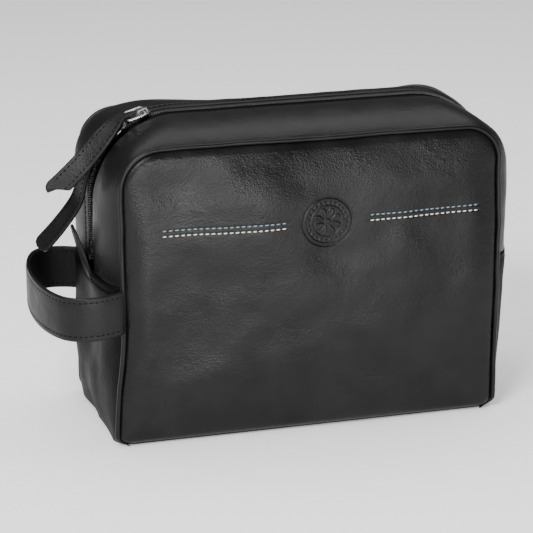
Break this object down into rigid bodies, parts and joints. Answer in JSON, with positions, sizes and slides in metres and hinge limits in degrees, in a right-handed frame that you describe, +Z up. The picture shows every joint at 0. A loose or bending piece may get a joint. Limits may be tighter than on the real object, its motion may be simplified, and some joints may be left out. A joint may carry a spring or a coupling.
{
  "type": "shaving kit bag",
  "caption": "Black leather shaving kit bag with a domed zip-round top, head-to-head sliders with leather pulls, piped seams and a side wrist loop.",
  "frame": {"origin": "centre of the base, on the surface it stands on", "axes": "+X to the right along the width, +Y to the back, +Z up"},
  "size_m": [0.3238, 0.125, 0.2182],
  "materials": {
    "leather": "smooth satin black leather with a fine grain",
    "piping": "rolled leather bead",
    "strap_lining": "matt black leather backing",
    "lining": "black woven lining",
    "zip_tape": "black woven zip tape",
    "zip_coil": "black nylon coil",
    "metal": "polished dark nickel",
    "board": "fibre stiffener",
    "thread_blue": "grey-blue thread",
    "thread_cream": "cream thread"
  },
  "bodies": {
    "bag": {"back_panel": "leather", "front_panel_lower": "leather", "front_piping_lower": "piping", "back_piping": "piping", "rear_zip_gusset": "leather", "left_side_gusset": "leather", "right_side_gusset": "leather", "base_panel": "leather", "base_board": "board", "rear_zip_tape": "zip_tape", "rear_zip_coil": "zip_coil", "zip_stop_left": "metal", "zip_stop_right": "metal", "lining_back": "lining", "lining_front_lower": "lining", "lining_side_left": "lining", "lining_side_right": "lining", "lining_zip_rear": "lining", "lining_base": "lining"},
    "front_flap": {"front_panel_upper": "leather", "front_piping_upper": "piping", "front_zip_gusset": "leather", "front_zip_tape": "zip_tape", "front_zip_coil": "zip_coil", "lining_front_upper": "lining", "lining_zip_front": "lining", "accent_stitches_upper": "thread_blue", "accent_stitches_lower": "thread_cream"},
    "right_slider": {"right_slider": "metal"},
    "right_frame": {"right_pull_frame": "metal"},
    "right_tab": {"right_pull_tab": "leather"},
    "left_slider": {"left_slider": "metal"},
    "left_frame": {"left_pull_frame": "metal"},
    "left_tab": {"left_pull_tab": "leather"},
    "strap": {"wrist_strap_outer": "leather", "wrist_strap_lining": "strap_lining"},
    "end_tab": {"zip_end_tab": "leather"}
  },
  "joints": [
    {"name": "right_zip_slide", "type": "slide", "parent": "bag", "child": "right_slider", "axis": [1, 0, 0], "range_m": [0, 0.184], "deforming": ["right_pull_tab", "rear_zip_tape", "rear_zip_coil", "rear_zip_gusset", "front_zip_gusset", "front_zip_tape", "front_zip_coil"]},
    {"name": "mouth_opening", "type": "hinge", "parent": "bag", "child": "front_flap", "pos_m": [0, -0.0625, 0.1105], "axis": [1, 0, 0], "range_deg": [0, 30.5], "deforming": ["front_zip_tape", "front_zip_coil"]},
    {"name": "right_frame_swing", "type": "hinge", "parent": "right_slider", "child": "right_frame", "pos_m": [-0.10182, 0, 0.21555], "axis": [0, 1, 0], "range_deg": [0, 150.5]},
    {"name": "right_tab_swing", "type": "hinge", "parent": "right_frame", "child": "right_tab", "pos_m": [-0.1138, 0, 0.212], "axis": [0, 1, 0], "range_deg": [0, 70]},
    {"name": "left_zip_slide_round_corner", "type": "hinge", "parent": "bag", "child": "left_slider", "pos_m": [-0.0825, 0, 0.158], "axis": [0, -1, 0], "range_deg": [0, 38], "deforming": ["left_pull_tab"]},
    {"name": "left_frame_swing", "type": "hinge", "parent": "left_slider", "child": "left_frame", "pos_m": [-0.11818, 0, 0.20711], "axis": [0, 1, 0], "range_deg": [0, 80]},
    {"name": "left_tab_swing", "type": "hinge", "parent": "left_frame", "child": "left_tab", "pos_m": [-0.12761, 0, 0.19891], "axis": [0, 1, 0], "range_deg": [0, 60]},
    {"name": "strap_flex", "type": "hinge", "parent": "bag", "child": "strap", "pos_m": [-0.1469, 0, 0.0963], "axis": [0, 1, 0], "range_deg": [-30, 30], "stiffness_Nm_per_rad": 0.05},
    {"name": "end_tab_flex", "type": "hinge", "parent": "bag", "child": "end_tab", "pos_m": [-0.1422, 0, 0.1111], "axis": [0, -1, 0], "range_deg": [0, 15], "stiffness_Nm_per_rad": 0.01}
  ],
  "couplings": [
    {"joint": "right_frame_swing", "follows": "right_zip_slide", "rad_per_m": 14.228},
    {"joint": "mouth_opening", "follows": "right_zip_slide", "rad_per_m": 2.8456}
  ]
}
